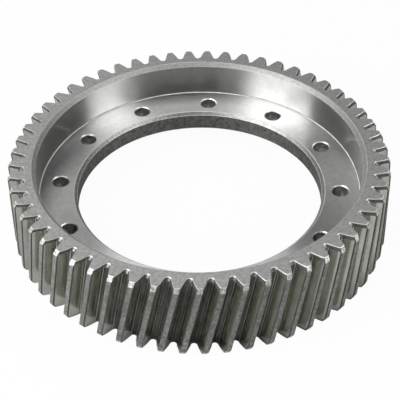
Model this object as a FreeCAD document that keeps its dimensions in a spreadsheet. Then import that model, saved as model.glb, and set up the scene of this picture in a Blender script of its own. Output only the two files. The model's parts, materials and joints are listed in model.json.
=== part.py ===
import FreeCAD, Part
import math
import os
import Sketcher

# Helical ring gear with a bolted inner flange, one machined steel forging.
# The axis is Z, the lower end face is at height 0 and a bolt hole is centred on +X.

document = FreeCAD.newDocument("ring_gear")
sizes = document.addObject("Spreadsheet::Sheet", "sizes")
worked = document.addObject("Spreadsheet::Sheet", "worked")

# Driving dimensions, in millimetres and degrees
driving = {
    "tooth_count": 57,  # teeth around the rim
    "normal_module": 5,  # module across the teeth
    "pressure_angle": 20,  # pressure angle across the teeth
    "helix_angle": 11.656,  # right-hand helix at the pitch circle
    "root_clearance": 1.25,  # depth of the tooth spaces past one module
    "tip_chamfer_drop": 4,  # turned chamfer on the tooth tips, along the axis
    "tip_chamfer_reach": 2.3,  # turned chamfer on the tooth tips, along the radius
    "space_chamfer_drop": 3,  # milled chamfer of each tooth space, along the axis
    "space_chamfer_reach": 2,  # milled chamfer of each tooth space, along the radius
    "flank_chords": 2,  # flat faces up each tooth flank
    "root_chords": 3,  # flat faces around each tooth root
    "rim_wall": 10.5,  # rim from the tooth roots to the recess wall
    "rim_chamfer": 3,  # chamfer of the rim's inner edges
    "recess_depth": 30,  # upper end face down to the flange
    "flange_thickness": 17,  # flange
    "under_recess_depth": 20,  # flange down to the lower end face
    "foot_bevel": 1.5,  # sloped corner where the recess walls meet the flange
    "flange_reach": 30.75,  # flange from the recess wall to the bore
    "bore_chamfer": 2.4,  # chamfer of the bore's upper edge
    "under_bore_chamfer": 1.5,  # chamfer of the bore's lower edge
    "bolt_count": 12,  # bolt holes in the flange
    "bolt_edge": 14.5,  # bore's wall to the centre of a bolt hole
    "bolt_hole": 13,  # bolt hole diameter
    "bolt_chamfer": 1.2,  # chamfer of each bolt hole's upper edge
    "overrun": 0.5,  # how far a cut runs past the faces that it opens
}

# What follows from the driving dimensions
follows = {
    # pitch circle
    "pitch_radius": "=sizes.normal_module * sizes.tooth_count / (2 * cos(sizes.helix_angle))",
    # outside of the teeth
    "tip_radius": "=pitch_radius + sizes.normal_module",
    # tooth roots
    "root_radius": "=pitch_radius - sizes.normal_module - sizes.root_clearance",
    # wall of both recesses
    "wall_radius": "=root_radius - sizes.rim_wall",
    # bore
    "bore_radius": "=wall_radius - sizes.flange_reach",
    # circle of the bolt holes
    "bolt_radius": "=bore_radius + sizes.bolt_edge",
    # flange face
    "flange_top": "=sizes.under_recess_depth + sizes.flange_thickness",
    # whole height
    "face_width": "=flange_top + sizes.recess_depth",
    # angle from a tooth to the next space
    "half_pitch": "=180 / sizes.tooth_count",
    # degrees turned in each millimetre
    "twist": "=tan(sizes.helix_angle) / pitch_radius * 180 / pi",
}

for sheet, cells in ((sizes, driving), (worked, follows)):
    for row, (alias, value) in enumerate(cells.items(), start=1):
        sheet.set(f"A{row}", alias)
        sheet.set(f"B{row}", str(value))
        sheet.setAlias(f"B{row}", alias)
    document.recompute()

gear = document.addObject("PartDesign::Body", "ring_gear")
gear.Label = "ring_gear"
origin = {feature.Role: feature for feature in gear.Origin.OriginFeatures}


def sketch_on(plane, name):
    """Starts an empty sketch on one of the body's own origin planes."""
    sketch = gear.newObject("Sketcher::SketchObject", name)
    sketch.AttachmentSupport = [(origin[plane], "")]
    sketch.MapMode = "FlatFace"
    return sketch


def draw_section(sketch, corners):
    """Joins the corners by straight edges and ties each corner to its radius and height."""
    places = [FreeCAD.Vector(*(float(gear.evalExpression(size)) for size in corner)) for corner in corners]
    for start, end in zip(places, places[1:] + places[:1]):
        sketch.addGeometry(Part.LineSegment(start, end))
    for edge, (corner, place) in enumerate(zip(corners, places)):
        sketch.addConstraint(Sketcher.Constraint("Coincident", edge, 2, (edge + 1) % len(corners), 1))
        for kind, size, value in zip(("DistanceX", "DistanceY"), corner, place):
            row = sketch.addConstraint(Sketcher.Constraint(kind, -1, 1, edge, 1, value))
            sketch.setExpression(f"Constraints[{row}]", size)


def pattern(name, features, count):
    """Repeats the features around the gear's axis."""
    copies = gear.newObject("PartDesign::PolarPattern", name)
    copies.Originals = features
    copies.Axis = (origin["Z_Axis"], [""])
    copies.Angle = 360
    copies.setExpression("Occurrences", count)
    copies.Refine = False
    gear.Tip = copies
    return copies


# Turned blank: rim, both recesses, flange and bore from one section

blank_section = sketch_on("XZ_Plane", "blank_section")
draw_section(blank_section, [
    ("worked.bore_radius + sizes.under_bore_chamfer", "sizes.under_recess_depth"),
    ("worked.bore_radius", "sizes.under_recess_depth + sizes.under_bore_chamfer"),
    ("worked.bore_radius", "worked.flange_top - sizes.bore_chamfer"),
    ("worked.bore_radius + sizes.bore_chamfer", "worked.flange_top"),
    ("worked.wall_radius - sizes.foot_bevel", "worked.flange_top"),
    ("worked.wall_radius", "worked.flange_top + sizes.foot_bevel"),
    ("worked.wall_radius", "worked.face_width - sizes.rim_chamfer"),
    ("worked.wall_radius + sizes.rim_chamfer", "worked.face_width"),
    ("worked.tip_radius - sizes.tip_chamfer_reach", "worked.face_width"),
    ("worked.tip_radius", "worked.face_width - sizes.tip_chamfer_drop"),
    ("worked.tip_radius", "sizes.tip_chamfer_drop"),
    ("worked.tip_radius - sizes.tip_chamfer_reach", "0"),
    ("worked.wall_radius + sizes.rim_chamfer", "0"),
    ("worked.wall_radius", "sizes.rim_chamfer"),
    ("worked.wall_radius", "sizes.under_recess_depth - sizes.foot_bevel"),
    ("worked.wall_radius - sizes.foot_bevel", "sizes.under_recess_depth"),
])
blank = gear.newObject("PartDesign::Revolution", "blank")
blank.Profile = blank_section
blank.ReferenceAxis = (blank_section, ["V_Axis"])
blank.Angle = 360
gear.Tip = blank

# Bolt holes, drilled through the flange and chamfered at their upper edges

hole_section = sketch_on("XZ_Plane", "bolt_hole_section")
draw_section(hole_section, [
    ("worked.bolt_radius", "sizes.under_recess_depth - sizes.overrun"),
    ("worked.bolt_radius + sizes.bolt_hole / 2", "sizes.under_recess_depth - sizes.overrun"),
    ("worked.bolt_radius + sizes.bolt_hole / 2", "worked.flange_top - sizes.bolt_chamfer"),
    ("worked.bolt_radius + sizes.bolt_hole / 2 + sizes.bolt_chamfer + sizes.overrun",
     "worked.flange_top + sizes.overrun"),
    ("worked.bolt_radius", "worked.flange_top + sizes.overrun"),
])
bolt_hole = gear.newObject("PartDesign::Groove", "bolt_hole")
bolt_hole.Profile = hole_section
bolt_hole.ReferenceAxis = (hole_section, ["Edge5"])
bolt_hole.Angle = 360
gear.Tip = bolt_hole
bolt_holes = pattern("bolt_holes", [bolt_hole], "sizes.bolt_count")
document.recompute()

# Involute tooth space, seen across the gear's axis with its middle on the sketch's X axis

pitch_radius = float(worked.pitch_radius)
tip_radius = float(worked.tip_radius)
root_radius = float(worked.root_radius)
flank_chords = int(sizes.flank_chords)
root_chords = int(sizes.root_chords)
helix_angle = math.radians(sizes.helix_angle)
pressure_angle = math.atan(math.tan(math.radians(sizes.pressure_angle)) / math.cos(helix_angle))
base_radius = pitch_radius * math.cos(pressure_angle)
tip_clearance = float(sizes.space_chamfer_reach * (1 + sizes.overrun / sizes.space_chamfer_drop) + sizes.overrun)
root_precision = 1e-9


def involute(angle):
    """Turn of an involute about its base circle up to the point with this pressure angle."""
    return math.tan(angle) - angle


def flank_at(radius):
    """Pressure angle, and half the space's width as an angle, at this radius."""
    angle = math.acos(base_radius / radius)
    return angle, math.radians(float(worked.half_pitch)) / 2 - involute(pressure_angle) + involute(angle)


def root_round(radius):
    """Size of the round that touches both flanks at this radius, its middle, and half its sweep."""
    angle, half_width = flank_at(radius)
    sweep = math.pi / 2 - half_width - angle
    size = radius * math.sin(half_width) / math.sin(sweep)
    return size, radius * math.cos(half_width) + size * math.cos(sweep), sweep


def space_outline():
    """Corners on the flanks and on the round between them, which is as deep as the tooth roots.

    The last chord of each flank runs straight on, clear of the tips."""
    shallow, deep = pitch_radius, max(base_radius, root_radius)
    while shallow - deep > root_precision:
        touch = (shallow + deep) / 2
        size, middle, sweep = root_round(touch)
        if middle - size > root_radius:
            shallow = touch
        else:
            deep = touch
    flank = []
    for chord in range(flank_chords + 1):
        radius = touch + (tip_radius - touch) * chord / flank_chords
        half_width = flank_at(radius)[1]
        flank.append(FreeCAD.Vector(radius * math.cos(half_width), radius * math.sin(half_width), 0))
    last_chord = flank[-1] - flank[-2]
    flank[-1] += last_chord.normalize() * tip_clearance
    other_flank = [FreeCAD.Vector(corner.x, -corner.y, 0) for corner in reversed(flank)]
    bottom = []
    for chord in range(1, root_chords):
        turn = sweep * (2 * chord / root_chords - 1)
        bottom.append(FreeCAD.Vector(middle - size * math.cos(turn), size * math.sin(turn), 0))
    return other_flank + bottom + flank


outline = space_outline()


def space_sketch(name, height, inward):
    """Puts the space at a height, moved inward and turned as the helix turns it from mid-face."""
    sketch = sketch_on("XY_Plane", name)
    shift = FreeCAD.Vector(float(gear.evalExpression(inward)), 0, 0)
    for start, end in zip(outline, outline[1:] + outline[:1]):
        sketch.addGeometry(Part.LineSegment(start - shift, end - shift))
    sketch.setExpression("AttachmentOffset.Base.z", height)
    sketch.setExpression("AttachmentOffset.Rotation.Angle",
                         f"worked.half_pitch + ({height} - worked.face_width / 2) * worked.twist")
    return sketch


# One tooth space, with its ends moved inward to chamfer its edges, cut between all teeth

past_end = "sizes.space_chamfer_reach * (1 + sizes.overrun / sizes.space_chamfer_drop)"
stations = [
    space_sketch("space_below", "0 - sizes.overrun", past_end),
    space_sketch("space_lower_edge", "sizes.space_chamfer_drop", "0"),
    space_sketch("space_upper_edge", "worked.face_width - sizes.space_chamfer_drop", "0"),
    space_sketch("space_above", "worked.face_width + sizes.overrun", past_end),
]
tooth_space = gear.newObject("PartDesign::SubtractiveLoft", "tooth_space")
tooth_space.Profile = stations[0]
tooth_space.Sections = stations[1:]
tooth_space.Ruled = True
tooth_space.Refine = False
gear.Tip = tooth_space
teeth = pattern("teeth", [tooth_space], "sizes.tooth_count")
document.recompute()

# Nothing is written unless every object came out whole and every tooth space was cut

for item in document.Objects:
    if {"Invalid", "Error"} & set(item.State):
        raise RuntimeError(f"{item.Name} failed: {item.State}")
if gear.Shape.isNull() or not gear.Shape.isValid() or len(gear.Shape.Solids) != 1:
    raise RuntimeError("the gear isn't one valid solid")
one_space = bolt_holes.Shape.Volume - tooth_space.Shape.Volume
if abs(bolt_holes.Shape.Volume - teeth.Shape.Volume - one_space * sizes.tooth_count) > one_space / 2:
    raise RuntimeError("a tooth space is missing")

os.makedirs("parts", exist_ok=True)
gear.Shape.exportStep("parts/ring_gear.step")
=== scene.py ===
import bmesh
import bpy
import json
import math
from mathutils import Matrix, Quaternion, Vector
from mathutils.geometry import tessellate_polygon


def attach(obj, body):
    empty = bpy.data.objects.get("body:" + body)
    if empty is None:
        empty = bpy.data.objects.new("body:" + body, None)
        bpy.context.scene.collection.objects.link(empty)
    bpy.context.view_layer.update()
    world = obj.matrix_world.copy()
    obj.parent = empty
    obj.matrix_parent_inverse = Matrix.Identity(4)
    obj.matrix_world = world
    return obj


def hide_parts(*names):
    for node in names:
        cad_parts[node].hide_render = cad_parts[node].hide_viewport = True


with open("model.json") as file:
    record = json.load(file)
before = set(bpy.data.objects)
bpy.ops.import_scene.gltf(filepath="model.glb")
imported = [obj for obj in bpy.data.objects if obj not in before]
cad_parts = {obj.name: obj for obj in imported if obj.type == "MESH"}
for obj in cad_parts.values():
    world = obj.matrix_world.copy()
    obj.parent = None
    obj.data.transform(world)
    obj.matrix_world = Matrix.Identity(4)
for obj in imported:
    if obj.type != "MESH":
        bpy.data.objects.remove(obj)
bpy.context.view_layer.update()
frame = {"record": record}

# The camera stands in front of the gear and looks down on it at about forty degrees, as in the photograph.
# The gear has a bolt hole on +X, so the camera stands a little to the right of -Y. It leans by one degree.

camera = bpy.data.objects.new("camera", bpy.data.cameras.new("camera"))
bpy.context.scene.collection.objects.link(camera)
bpy.context.scene.camera = camera
camera.data.sensor_width = 36
camera.data.lens = 116.351
camera.data.clip_start = 0.05
camera.location = (0.06322, -0.79439, 0.70199)
looks_at = Vector((0.00434, -0.05226, 0.067))
camera.rotation_mode = "QUATERNION"
aim = (looks_at - camera.location).to_track_quat("-Z", "Y")
lean = math.radians(-0.996)
camera.rotation_quaternion = aim @ Quaternion((0, 0, 1), lean)

# The teeth are hobbed into the outside of a steel forging, on a right-hand helix. The tips are turned to a
# chamfer at both ends, and the ends of the spaces are milled to a smaller one. The edges at the ends carry a
# painted highlight, and a thin line of painted shade runs under them and beside each tip.

mounts = {mount["name"]: mount for mount in frame["record"]["mounts"]}
face_width = mounts["upper_end"]["pos_m"][2]
middle_height = face_width / 2
tooth_count = 57
normal_module = 0.005
helix_angle = math.radians(11.656)
normal_pressure_angle = math.radians(20)
root_depth = 1.25 * normal_module
pressure_angle = math.atan(math.tan(normal_pressure_angle) / math.cos(helix_angle))
pitch_radius = normal_module * tooth_count / 2 / math.cos(helix_angle)
base_radius = pitch_radius * math.cos(pressure_angle)
tip_radius = pitch_radius + normal_module
root_radius = pitch_radius - root_depth
half_pitch = math.pi / tooth_count
helix_turn = math.tan(helix_angle) / pitch_radius
tip_chamfer_height, tip_chamfer_reach = 0.004, 0.0023
space_chamfer_height, space_chamfer_reach = 0.003, 0.002
tip_edge = 0.0003
highlight_height, shade_line_height, shade_line_width = 0.0006, 0.00045, 0.0007
root_steps, flank_steps, helix_steps = 6, 7, 8
solved_within, merged_within = 1e-9, 1e-5


def involute(angle):
    return math.tan(angle) - angle


def half_space(radius):
    """Pressure angle at this radius, and half the space's width there as an angle."""
    angle = math.acos(base_radius / radius)
    return angle, half_pitch / 2 - involute(pressure_angle) + involute(angle)


def root_round(radius):
    """Size, middle and half sweep of the root's round, where it meets both flanks at this radius."""
    angle, half_width = half_space(radius)
    sweep = math.pi / 2 - half_width - angle
    size = radius * math.sin(half_width) / math.sin(sweep)
    return size, radius * math.cos(half_width) + size * math.cos(sweep), sweep


# The round ends where it just reaches the root circle, which is found by halving.
round_end, low = pitch_radius, root_radius
while round_end - low > solved_within:
    halfway = (round_end + low) / 2
    if root_round(halfway)[1] - root_round(halfway)[0] > root_radius:
        round_end = halfway
    else:
        low = halfway
round_size, round_middle, round_sweep = root_round(round_end)


def tooth_outline(height):
    """One tooth from mid-space to mid-space at this height, before the helix turns it."""
    depth = min(height, face_width - height)
    tip = tip_radius - tip_chamfer_reach * max(0, 1 - depth / tip_chamfer_height)
    inward = space_chamfer_reach * max(0, 1 - depth / space_chamfer_height)
    half = []
    for step in range(root_steps):
        turn = round_sweep * step / root_steps
        half.append((round_middle - round_size * math.cos(turn), round_size * math.sin(turn)))
    end = tip - tip_edge + inward * math.cos(half_space(tip)[1])
    flank = end - shade_line_width - round_end
    for radius in [round_end + flank * step / flank_steps for step in range(flank_steps + 1)] + [end]:
        width = half_space(radius)[1]
        half.append((radius * math.cos(width), radius * math.sin(width)))
    half = [complex(x - inward, y) for x, y in half]
    land = math.atan2(half[-1].imag, half[-1].real) + tip_edge / tip
    half.append(tip * complex(math.cos(land), math.sin(land)))
    turned_back = complex(math.cos(half_pitch), -math.sin(half_pitch))
    half = [point * turned_back for point in half]
    return half + [complex(tip, 0)] + [point.conjugate() for point in reversed(half)]


def flat_mesh(name, points, faces, finishes, grain=None):
    """Makes a mesh whose faces remember their finish by number, with a grain map along the tool's path."""
    mesh = bpy.data.meshes.new(name)
    mesh.from_pydata(points, [], faces)
    mesh.attributes.new("finish", "INT", "FACE").data.foreach_set("value", finishes)
    grain_map = mesh.uv_layers.new(name="grain")
    for loop in mesh.loops:
        grain_map.data[loop.index].uv = grain[loop.vertex_index] if grain else (0, 0)
    return mesh


def feed(tree, taker, given):
    """Gives inputs of a node a value each, or the output of another node, by default its first."""
    for place, source in given:
        target = next(entry for entry in taker.inputs if place in (entry.identifier, entry.name))
        if isinstance(source, bpy.types.Node):
            source = source.outputs[0]
        if isinstance(source, bpy.types.NodeSocket):
            tree.links.new(source, target)
        else:
            target.default_value = source


def add_node(tree, kind, given=(), **settings):
    """Adds a node with these settings, and feeds its inputs."""
    made = tree.nodes.new(kind)
    for setting, value in settings.items():
        setattr(made, setting, value)
    feed(tree, made, given)
    return made


def repeated_round(name, mesh, steels, count, turn=0.0):
    """Repeats a mesh round the gear's axis, turns it with height as a helix does, and joins the copies."""
    tree = bpy.data.node_groups.new(name, "GeometryNodeTree")
    tree.is_modifier = True
    for label, kind in (("One of them", "Geometry"), ("Count", "Int"), ("Turn with height", "Float"),
                        ("Middle height", "Float")):
        tree.interface.new_socket(label, in_out="INPUT", socket_type="NodeSocket" + kind)
    tree.interface.new_socket("All of them", in_out="OUTPUT", socket_type="NodeSocketGeometry")
    one, how_many, turn_with_height, still_height = tree.nodes.new("NodeGroupInput").outputs[:4]

    index = add_node(tree, "GeometryNodeInputIndex")
    spacing = add_node(tree, "ShaderNodeMath", [("Value", math.tau), ("Value_001", how_many)],
                       operation="DIVIDE")
    angle = add_node(tree, "ShaderNodeMath", [("Value", index), ("Value_001", spacing)], operation="MULTIPLY")
    rotation = add_node(tree, "FunctionNodeAxisAngleToRotation", [("Axis", (0, 0, 1)), ("Angle", angle)])
    centres = add_node(tree, "GeometryNodePoints", [("Count", how_many)])
    copies = add_node(tree, "GeometryNodeInstanceOnPoints",
                      [("Points", centres), ("Instance", one), ("Rotation", rotation)])
    tone = add_node(tree, "ShaderNodeTexWhiteNoise", [("W", index)], noise_dimensions="1D")
    copies = add_node(tree, "GeometryNodeStoreNamedAttribute",
                      [("Geometry", copies), ("Name", "tone"), ("Value", tone)],
                      data_type="FLOAT", domain="INSTANCE")
    surface = add_node(tree, "GeometryNodeRealizeInstances", [("Geometry", copies)])
    place = add_node(tree, "GeometryNodeInputPosition")
    apart = add_node(tree, "ShaderNodeSeparateXYZ", [("Vector", place)])
    above = add_node(tree, "ShaderNodeMath", [("Value", apart.outputs["Z"]), ("Value_001", still_height)],
                     operation="SUBTRACT")
    twist = add_node(tree, "ShaderNodeMath", [("Value", above), ("Value_001", turn_with_height)],
                     operation="MULTIPLY")
    turned = add_node(tree, "ShaderNodeVectorRotate", [("Vector", place), ("Angle", twist)],
                      rotation_type="Z_AXIS")
    surface = add_node(tree, "GeometryNodeSetPosition", [("Geometry", surface), ("Position", turned)])
    surface = add_node(tree, "GeometryNodeMergeByDistance",
                       [("Geometry", surface), ("Distance", merged_within)])
    # The tree ends in plain faces, because an export drops instances.
    surface = add_node(tree, "GeometryNodeRealizeInstances", [("Geometry", surface)])
    finish = add_node(tree, "GeometryNodeInputNamedAttribute", [("Name", "finish")], data_type="INT")
    for number, steel in enumerate(steels):
        chosen = add_node(tree, "FunctionNodeCompare", [("A_INT", finish), ("B_INT", number)],
                          data_type="INT", operation="EQUAL")
        surface = add_node(tree, "GeometryNodeSetMaterial",
                           [("Geometry", surface), ("Selection", chosen), ("Material", steel)])
    feed(tree, tree.nodes.new("NodeGroupOutput"), [("All of them", surface)])

    blank = bpy.data.objects.new(name, mesh)
    bpy.context.scene.collection.objects.link(blank)
    modifier = blank.modifiers.new(name, "NODES")
    modifier.node_group = tree
    inputs = [entry.identifier for entry in tree.interface.items_tree if entry.in_out == "INPUT"]
    for socket, value in zip(inputs[1:], (count, turn, middle_height)):
        modifier[socket] = value
    seen = bpy.context.evaluated_depsgraph_get()
    made = bpy.data.meshes.new_from_object(blank.evaluated_get(seen), preserve_all_data_layers=True,
                                           depsgraph=seen)
    blank.modifiers.clear()
    blank.data = made
    # The first slot is for faces that have no steel yet, and none is left there.
    made.materials.pop(index=0)
    bpy.data.meshes.remove(mesh)
    return blank


def steel_finish(name, dark, light, roughness, mottle, grit, depth, rings=0.0, along_grain=False, spread=0.08,
                 metal=1.0, tone=0.0, shine=0.5):
    """Bare steel: two close greys in soft patches, uneven gloss, and the fine marks of the tool.

    A larger mottle makes the patches finer, and a larger grit the marks, which are depth metres deep. Rings
    draws the reflections out across the lathe's marks, spread varies the gloss, and tone varies the grey from
    tooth to tooth.
    """
    material = bpy.data.materials.new(name)
    material.use_nodes = True
    tree = material.node_tree
    surface = tree.nodes["Principled BSDF"]
    place = add_node(tree, "ShaderNodeTexCoord")
    patches = add_node(tree, "ShaderNodeTexNoise", [("Vector", place.outputs["Object"]), ("Scale", mottle),
                                                    ("Detail", 5), ("Roughness", 0.62)])
    tint = add_node(tree, "ShaderNodeValToRGB", [("Fac", patches)])
    for stop, position, grey in zip(tint.color_ramp.elements, (0.36, 0.66), (dark, light)):
        stop.position = position
        stop.color = (*grey, 1)
    if tone:
        # No two teeth are cut quite alike, so each has its own shade.
        tooth = add_node(tree, "ShaderNodeAttribute", attribute_name="tone")
        shade = add_node(tree, "ShaderNodeMapRange", [("Value", tooth.outputs["Fac"]), ("To Min", 1 - tone),
                                                      ("To Max", 1 + tone)])
        tint = add_node(tree, "ShaderNodeVectorMath", [("Vector", tint), ("Scale", shade)], operation="SCALE")
    gloss = add_node(tree, "ShaderNodeMapRange", [("Value", patches), ("To Min", roughness + spread),
                                                  ("To Max", roughness - spread)])
    marks = add_node(tree, "ShaderNodeTexNoise", [("Scale", grit), ("Detail", 4)])
    relief = add_node(tree, "ShaderNodeBump", [("Height", marks), ("Strength", 1.0), ("Distance", depth)])
    feed(tree, surface, [("Base Color", tint), ("Metallic", metal), ("Specular IOR Level", shine),
                         ("Roughness", gloss), ("Normal", relief)])
    if along_grain:
        # The hob's marks run up the tooth, so the noise is drawn out twenty times that way.
        track = add_node(tree, "ShaderNodeMapping",
                         [("Vector", place.outputs["UV"]), ("Scale", (1, 0.05, 1))])
    elif rings:
        # The lathe's marks run round the axis: the noise is read by radius and height, and hardly by angle.
        parts = add_node(tree, "ShaderNodeSeparateXYZ", [("Vector", place.outputs["Object"])])
        outward = add_node(tree, "ShaderNodeVectorMath",
                           [("Vector", place.outputs["Object"]), ("Vector_001", (1, 1, 0))],
                           operation="MULTIPLY")
        radius = add_node(tree, "ShaderNodeVectorMath", [("Vector", outward)], operation="LENGTH")
        way = add_node(tree, "ShaderNodeVectorMath", [("Vector", outward)], operation="NORMALIZE")
        slow = add_node(tree, "ShaderNodeVectorMath", [("Vector", way), ("Scale", 0.004)], operation="SCALE")
        level = add_node(tree, "ShaderNodeMath", [("Value", radius.outputs["Value"]),
                                                  ("Value_001", parts.outputs["Z"])], operation="ADD")
        lift = add_node(tree, "ShaderNodeCombineXYZ", [("Z", level)])
        track = add_node(tree, "ShaderNodeVectorMath", [("Vector", slow), ("Vector_001", lift)],
                         operation="ADD")
        along = add_node(tree, "ShaderNodeVectorRotate", [("Vector", way), ("Angle", math.pi / 2)],
                         rotation_type="Z_AXIS")
        feed(tree, surface, [("Tangent", along), ("Anisotropic", rings), ("Anisotropic Rotation", 0.25)])
    else:
        track = place.outputs["Object"]
    feed(tree, marks, [("Vector", track)])
    return material


# Painted shade: the roots are painted far darker than the flanks, for the shade at the bottom of the spaces.
root_shade_steel = steel_finish("tooth_root_steel", dark=(0.05, 0.052, 0.046), light=(0.12, 0.123, 0.112),
                          roughness=0.42, mottle=60, grit=900, depth=8e-6, along_grain=True, metal=0.8,
                          tone=0.12)
# Painted highlight: one strip of each root's round is painted light.
fillet_highlight_steel = steel_finish("tooth_fillet_steel", dark=(0.60, 0.606, 0.56), light=(0.76, 0.765, 0.71),
                            roughness=0.34, mottle=80, grit=1200, depth=4e-6, along_grain=True, metal=0.7)
flank_steel = steel_finish("tooth_flank_steel", dark=(0.37, 0.378, 0.337), light=(0.46, 0.469, 0.422),
                           roughness=0.20, mottle=70, grit=1400, depth=4e-6, along_grain=True, spread=0.04,
                           tone=0.07)
tip_steel = steel_finish("tooth_tip_steel", dark=(0.065, 0.067, 0.061), light=(0.20, 0.203, 0.188),
                         roughness=0.40, mottle=420, grit=1500, depth=1.5e-5, metal=0.25, tone=0.10,
                         shine=0.3)
# Painted highlight: the broken edges at the ends of the teeth and at the bore are painted light.
bright_edge_steel = steel_finish("bright_edge_steel", dark=(0.46, 0.46, 0.45), light=(0.68, 0.68, 0.665),
                                 roughness=0.40, mottle=300, grit=1500, depth=4e-6, metal=0.45)
# Painted shade: the thin lines beside each tip, under the edges at the ends and along the recess's round are
# painted near black.
shaded_edge_steel = steel_finish("shaded_edge_steel", dark=(0.035, 0.035, 0.033),
                                 light=(0.085, 0.085, 0.08), roughness=0.45, mottle=500, grit=1500,
                                 depth=6e-6, metal=0.15, shine=0.2)
space_chamfer_steel = steel_finish("space_chamfer_steel", dark=(0.10, 0.102, 0.096),
                                   light=(0.27, 0.27, 0.262), roughness=0.50, mottle=520, grit=900,
                                   depth=2e-5)
tip_chamfer_steel = steel_finish("tip_chamfer_steel", dark=(0.12, 0.123, 0.116), light=(0.60, 0.60, 0.59),
                                 roughness=0.50, mottle=640, grit=900, depth=2e-5, metal=0.6)
ROOT, FILLET, FLANK, TIP, EDGE, SHADED, SPACE_CHAMFER, TIP_CHAMFER = range(8)

end_heights = [0, highlight_height, highlight_height + shade_line_height, space_chamfer_height, tip_chamfer_height]
between_chamfers = face_width - 2 * tip_chamfer_height
heights = end_heights + [tip_chamfer_height + between_chamfers * step / helix_steps
                         for step in range(1, helix_steps)]
heights += [face_width - height for height in reversed(end_heights)]
outlines = [tooth_outline(height) for height in heights]
# The bottom of each space is painted dark as shade, with one strip of its round painted light as a highlight,
# and a line of painted shade runs beside each tip.
half_steels = [ROOT] * (root_steps - 2) + [FILLET, ROOT] + [FLANK] * flank_steps
tooth_steels = half_steels + [SHADED, SHADED, TIP, TIP, SHADED, SHADED] + half_steels[::-1]
columns = len(outlines[0])
middle = outlines[len(outlines) // 2]
across = [0.0]
for start, end in zip(middle, middle[1:]):
    across.append(across[-1] + abs(end - start))
tooth_points = [(point.real, point.imag, height)
                for height, outline in zip(heights, outlines) for point in outline]
tooth_grain = [(distance, height) for height in heights for distance in across]
tooth_faces, tooth_finishes = [], []
for row in range(len(heights) - 1):
    depth = min(heights[row], face_width - heights[row + 1])
    for column in range(columns - 1):
        corner = row * columns + column
        tooth_faces.append((corner, corner + 1, corner + columns + 1, corner + columns))
        steel = tooth_steels[column]
        # Near the ends, the chamfers have a finish of their own, and the lines of painted highlight and
        # painted shade have a steel each.
        if depth < highlight_height:
            steel = EDGE
        elif depth < space_chamfer_height and steel in (ROOT, FILLET):
            steel = SPACE_CHAMFER
        elif depth < highlight_height + shade_line_height and steel == FLANK:
            steel = SHADED
        elif depth < tip_chamfer_height and steel == TIP:
            steel = TIP_CHAMFER
        tooth_finishes.append(steel)
gear = repeated_round("gear", flat_mesh("tooth", tooth_points, tooth_faces, tooth_finishes, tooth_grain),
                      [root_shade_steel, fillet_highlight_steel, flank_steel, tip_steel, bright_edge_steel, shaded_edge_steel,
                       space_chamfer_steel, tip_chamfer_steel], tooth_count, helix_turn)

# The rim's inside, both recesses and the bore are turned on a lathe. The recesses end in a small round at the
# flange; on the upper one a thin highlight is painted, with a thin line of painted shade above it. The
# corners at the ends and at the bore are chamfered, with a painted highlight on their broken edges.

flange_top = mounts["flange_face"]["pos_m"][2]
flange_under = mounts["flange_underside"]["pos_m"][2]
wall_radius = mounts["upper_recess"]["dims"]["r_mm"] / 1000
bore_radius = mounts["bore"]["dims"]["r_mm"] / 1000
bore_half = mounts["bore"]["dims"]["length_mm"] / 2000
bore_chamfer = flange_top - mounts["bore"]["pos_m"][2] - bore_half
bore_under_chamfer = mounts["bore"]["pos_m"][2] - bore_half - flange_under
rim_chamfer = 0.003
foot_round = 0.0015
broken_edge = 0.00025
round_steps, lathe_steps = 5, 360

turned_steel = steel_finish("turned_steel", dark=(0.42, 0.42, 0.417), light=(0.47, 0.47, 0.464),
                            roughness=0.32, mottle=150, grit=2600, depth=4e-6, rings=1.0, spread=0.012)
rim_chamfer_steel = steel_finish("rim_chamfer_steel", dark=(0.235, 0.237, 0.229), light=(0.35, 0.35, 0.342),
                                 roughness=0.48, mottle=560, grit=1800, depth=1.4e-5, metal=0.6)
bore_chamfer_steel = steel_finish("bore_chamfer_steel", dark=(0.23, 0.233, 0.222),
                                  light=(0.45, 0.45, 0.437), roughness=0.5, mottle=560, grit=1500,
                                  depth=2e-5, rings=0.3)
bore_steel = steel_finish("bore_steel", dark=(0.085, 0.088, 0.08), light=(0.18, 0.184, 0.17),
                          roughness=0.50, mottle=300, grit=1200, depth=3e-5, rings=0.5)
# Painted highlight: the broken edges of the rim's chamfer are painted lighter than the chamfer.
rim_edge_steel = steel_finish("rim_edge_steel", dark=(0.32, 0.32, 0.312), light=(0.50, 0.50, 0.49),
                              roughness=0.45, mottle=300, grit=1500, depth=6e-6, metal=0.5)
# Painted highlight: a thin light line painted along the recess's round at the flange.
line_highlight_steel = steel_finish("bright_line_steel", dark=(0.48, 0.48, 0.425), light=(0.66, 0.66, 0.60),
                          roughness=0.5, mottle=200, grit=1500, depth=4e-6, metal=0.4)
WALL, CHAMFER, BRIGHT, BORE, BORE_CHAMFER, SHADE, LINE, RIM_EDGE = range(8)
slant = broken_edge * math.sqrt(0.5)


def foot(height, side):
    """Points of the round from a recess wall to the flange: side is 1 above the flange and -1 below it."""
    # Along the round, a line of painted shade comes first and then a painted highlight.
    steels = [WALL, SHADE, LINE, LINE, WALL, WALL]
    turns = [math.pi / 2 * step / round_steps for step in range(round_steps + 1)]
    return [(wall_radius - foot_round + foot_round * math.cos(turn),
             height + side * foot_round * (1 - math.sin(turn)), steel) for turn, steel in zip(turns, steels)]


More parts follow.
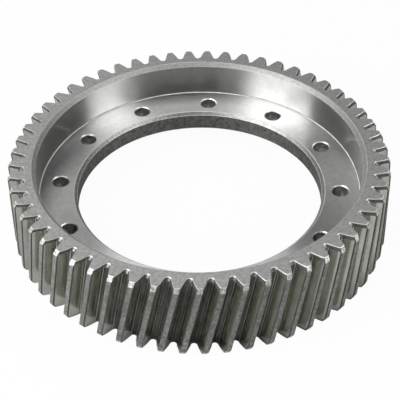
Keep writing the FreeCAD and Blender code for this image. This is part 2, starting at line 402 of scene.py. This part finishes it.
upper_inside = [(wall_radius + rim_chamfer + broken_edge, face_width, RIM_EDGE),
                (wall_radius + rim_chamfer - slant, face_width - slant, CHAMFER),
                (wall_radius + slant, face_width - rim_chamfer + slant, RIM_EDGE),
                (wall_radius, face_width - rim_chamfer - broken_edge, WALL)] + foot(flange_top, 1)
bore_section = [(bore_radius + bore_chamfer + broken_edge, flange_top, BRIGHT),
                (bore_radius + bore_chamfer - slant, flange_top - slant, BORE_CHAMFER),
                (bore_radius + slant, flange_top - bore_chamfer + slant, BRIGHT),
                (bore_radius, flange_top - bore_chamfer - broken_edge, BORE),
                (bore_radius, flange_under + bore_under_chamfer, WALL),
                (bore_radius + bore_under_chamfer, flange_under, WALL)]
lower_inside = [(radius, height, CHAMFER) for radius, height, _ in reversed(foot(flange_under, -1))]
lower_inside += [(wall_radius, rim_chamfer, CHAMFER), (wall_radius + rim_chamfer, 0, CHAMFER)]
lathe_points, lathe_faces, lathe_finishes = [], [], []
lathe_step = math.tau / lathe_steps
for section in (upper_inside, bore_section, lower_inside):
    first = len(lathe_points)
    for radius, height, steel in section:
        lathe_points += [(radius, 0, height),
                         (radius * math.cos(lathe_step), radius * math.sin(lathe_step), height)]
    for step, (*_, steel) in enumerate(section[:-1]):
        corner = first + 2 * step
        lathe_faces.append((corner, corner + 1, corner + 3, corner + 2))
        lathe_finishes.append(steel)
inside = repeated_round("inside", flat_mesh("lathe_cut", lathe_points, lathe_faces, lathe_finishes),
                        [turned_steel, rim_chamfer_steel, bright_edge_steel, bore_steel, bore_chamfer_steel,
                         shaded_edge_steel, line_highlight_steel, rim_edge_steel], lathe_steps)

# Twelve holes take the bolts that hold the gear to its carrier. They are drilled through the steel of the
# flange, evenly round one circle, and countersunk a little at both ends.

bolts = mounts["flange_bolts"]["dims"]
bolt_circle = bolts["pcd_mm"] / 2000
hole_radius = bolts["hole_r_mm"] / 1000
hole_chamfer = 0.0008
hole_steps = 48
hole_steel = steel_finish("drilled_steel", dark=(0.26, 0.265, 0.25), light=(0.58, 0.585, 0.57),
                          roughness=0.34, mottle=420, grit=2200, depth=2e-5)
hole_chamfer_steel = steel_finish("countersunk_steel", dark=(0.62, 0.62, 0.60), light=(0.80, 0.80, 0.78),
                                  roughness=0.48, mottle=300, grit=1800, depth=6e-6)
DRILLED, COUNTERSUNK = range(2)


def hole_ring(radius, height):
    return [(bolt_circle + radius * math.cos(math.tau * step / hole_steps),
             radius * math.sin(math.tau * step / hole_steps), height) for step in range(hole_steps)]


hole_points = hole_ring(hole_radius + hole_chamfer, flange_top)
hole_points += hole_ring(hole_radius, flange_top - hole_chamfer)
hole_points += hole_ring(hole_radius, flange_under + hole_chamfer)
hole_points += hole_ring(hole_radius + hole_chamfer, flange_under)
hole_faces, hole_finishes = [], []
for ring, steel in enumerate((COUNTERSUNK, DRILLED, COUNTERSUNK)):
    for step in range(hole_steps):
        beside = (step + 1) % hole_steps
        hole_faces.append([ring * hole_steps + corner for corner in
                           (step, beside, beside + hole_steps, step + hole_steps)])
        hole_finishes.append(steel)
holes = repeated_round("bolt_holes", flat_mesh("bolt_hole", hole_points, hole_faces, hole_finishes),
                       [hole_steel, hole_chamfer_steel], bolts["count"])

# The flat faces: the flange's two sides, faced on the lathe, and the gear's two ends, ground flat and dulled.
# They close the teeth, the turned inside and the holes up to one forging, which is joined here as one piece.

flange_steel = steel_finish("flange_steel", dark=(0.595, 0.595, 0.59), light=(0.675, 0.675, 0.666),
                            roughness=0.38, mottle=260, grit=2000, depth=6e-6, rings=1.0, spread=0.02)
end_steel = steel_finish("end_face_steel", dark=(0.25, 0.25, 0.247), light=(0.355, 0.355, 0.35),
                         roughness=0.46, mottle=400, grit=1200, depth=2e-5, metal=0.7)


def circle(radius, steps):
    return [(radius * math.cos(math.tau * step / steps), radius * math.sin(math.tau * step / steps))
            for step in range(steps)]


def tooth_edge(height):
    """The toothed outline that the hob left at one end of the gear, in order round the axis."""
    corners = [(vertex.co.x, vertex.co.y) for vertex in gear.data.vertices
               if abs(vertex.co.z - height) < merged_within]
    return sorted(corners, key=lambda corner: math.atan2(corner[1], corner[0]))


def flat_face(name, loops, height, facing, steel):
    """Fills a flat face between its outside and its holes, all at one height."""
    corners = [(x, y, height) for loop in loops for x, y in loop]
    faces = []
    for face in tessellate_polygon([[Vector((x, y, 0)) for x, y in loop] for loop in loops]):
        a, b, c = (Vector(corners[corner]) for corner in face)
        faces.append(face if (b - a).cross(c - a).z * facing > 0 else face[::-1])
    made = bpy.data.objects.new(name, flat_mesh(name, corners, faces, [0] * len(faces)))
    made.data.materials.append(steel)
    bpy.context.scene.collection.objects.link(made)
    return made


def flange_loops(bore_edge, hole_edge):
    """The flange's outside, the bore's edge, and the edge of every bolt hole."""
    loops = [circle(wall_radius - foot_round, lathe_steps), circle(bore_edge, lathe_steps)]
    for hole in range(bolts["count"]):
        turn = math.tau * hole / bolts["count"]
        x, y = bolt_circle * math.cos(turn), bolt_circle * math.sin(turn)
        loops.append([(x + hole_edge * math.cos(turn + math.tau * step / hole_steps),
                       y + hole_edge * math.sin(turn + math.tau * step / hole_steps))
                      for step in range(hole_steps)])
    return loops


upper_loops = flange_loops(bore_radius + bore_chamfer + broken_edge, hole_radius + hole_chamfer)
under_loops = flange_loops(bore_radius + bore_under_chamfer, hole_radius + hole_chamfer)
upper_rim = circle(wall_radius + rim_chamfer + broken_edge, lathe_steps)
lower_rim = circle(wall_radius + rim_chamfer, lathe_steps)
flats = [
    flat_face("flange_face", upper_loops, flange_top, 1, flange_steel),
    flat_face("flange_underside", under_loops, flange_under, -1, flange_steel),
    flat_face("upper_end", [tooth_edge(face_width), upper_rim], face_width, 1, end_steel),
    flat_face("lower_end", [tooth_edge(0), lower_rim], 0, -1, end_steel),
]
with bpy.context.temp_override(active_object=gear, selected_editable_objects=[gear, inside, holes, *flats]):
    bpy.ops.object.join()
joined = bmesh.new()
joined.from_mesh(gear.data)
bmesh.ops.remove_doubles(joined, verts=joined.verts, dist=merged_within)
bmesh.ops.recalc_face_normals(joined, faces=joined.faces)
joined.to_mesh(gear.data)
joined.free()
gear.data.shade_smooth()
sharp_corner = math.radians(11.5)
gear.data.set_sharp_from_angle(angle=sharp_corner)
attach(gear, "root")
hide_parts("ring_gear")

# A pale grey floor. The camera sees it almost white, with a faint shadow of the gear, and the steel mirrors
# the grey.

floor_level, floor_half = -0.0001, 6
floor_grey = (0.55, 0.55, 0.55, 1)
seen_white = 0.96
floor_mesh = bpy.data.meshes.new("floor")
floor_mesh.from_pydata([(floor_half * x, floor_half * y, floor_level)
                        for x, y in ((-1, -1), (1, -1), (1, 1), (-1, 1))], [], [(0, 1, 2, 3)])
floor = bpy.data.objects.new("floor", floor_mesh)
bpy.context.scene.collection.objects.link(floor)
floor_paint = bpy.data.materials.new("floor_paint")
floor_paint.use_nodes = True
tree = floor_paint.node_tree
paint = tree.nodes["Principled BSDF"]
feed(tree, paint, [("Base Color", floor_grey), ("Roughness", 0.9)])
glow = add_node(tree, "ShaderNodeEmission")
ray = add_node(tree, "ShaderNodeLightPath")
glow_share = add_node(tree, "ShaderNodeMath",
                      [("Value", ray.outputs["Is Camera Ray"]), ("Value_001", seen_white)],
                      operation="MULTIPLY")
seen_as = add_node(tree, "ShaderNodeMixShader",
                   [("Fac", glow_share), ("Shader", paint), ("Shader_001", glow)])
feed(tree, tree.nodes["Material Output"], [("Surface", seen_as)])
floor_mesh.materials.append(floor_paint)

# Studio light: a wide soft light at the left and one at the right, which make the bright bands on the turned
# steel, three dim ones above, behind and in front, and a dim room. Only the camera sees the room white.

lamp_aim = Vector((0, 0, 0.04))


def soft_light(name, azimuth, distance, height, width, tall, brightness):
    lamp = bpy.data.lights.new(name, "AREA")
    lamp.shape = "RECTANGLE"
    lamp.size, lamp.size_y = width, tall
    lamp.energy = brightness * math.pi * width * tall
    holder = bpy.data.objects.new(name, lamp)
    bpy.context.scene.collection.objects.link(holder)
    turn = math.radians(azimuth)
    holder.location = (distance * math.cos(turn), distance * math.sin(turn), height)
    holder.rotation_euler = (lamp_aim - holder.location).to_track_quat("-Z", "Y").to_euler()


soft_light("left_light", azimuth=213, distance=1.1, height=0.60, width=0.98, tall=1.0, brightness=8.4)
soft_light("right_light", azimuth=342, distance=1.1, height=0.60, width=0.62, tall=1.0, brightness=6.1)
soft_light("top_light", azimuth=100, distance=0.50, height=1.20, width=0.9, tall=0.7, brightness=1.9)
soft_light("back_light", azimuth=112, distance=1.2, height=0.90, width=0.6, tall=0.5, brightness=1.2)
soft_light("front_light", azimuth=240, distance=1.1, height=1.00, width=0.7, tall=0.7, brightness=0.6)

room_low, room_high, room_on_dull = 0.04, 0.125, 0.3
world = bpy.data.worlds.new("room")
bpy.context.scene.world = world
world.use_nodes = True
tree = world.node_tree
place = add_node(tree, "ShaderNodeTexCoord")
direction = add_node(tree, "ShaderNodeSeparateXYZ", [("Vector", place.outputs["Generated"])])
ceiling = add_node(tree, "ShaderNodeMapRange", [("Value", direction.outputs["Z"]), ("From Max", 0.5),
                                                ("To Min", room_low), ("To Max", room_high)])
# The room lights dull surfaces more than it shows in the steel.
ray = add_node(tree, "ShaderNodeLightPath")
diffuse = add_node(tree, "ShaderNodeMix", [("Factor", ray.outputs["Is Diffuse Ray"]), ("A", ceiling),
                                           ("B", room_on_dull)])
backdrop = add_node(tree, "ShaderNodeMix", [("Factor", ray.outputs["Is Camera Ray"]), ("A", diffuse),
                                            ("B", 1.0)])
feed(tree, tree.nodes["Background"], [("Strength", backdrop), ("Color", (1, 1, 1, 1))])

bpy.context.scene.view_settings.view_transform = "Standard"
bpy.context.view_layer.update()
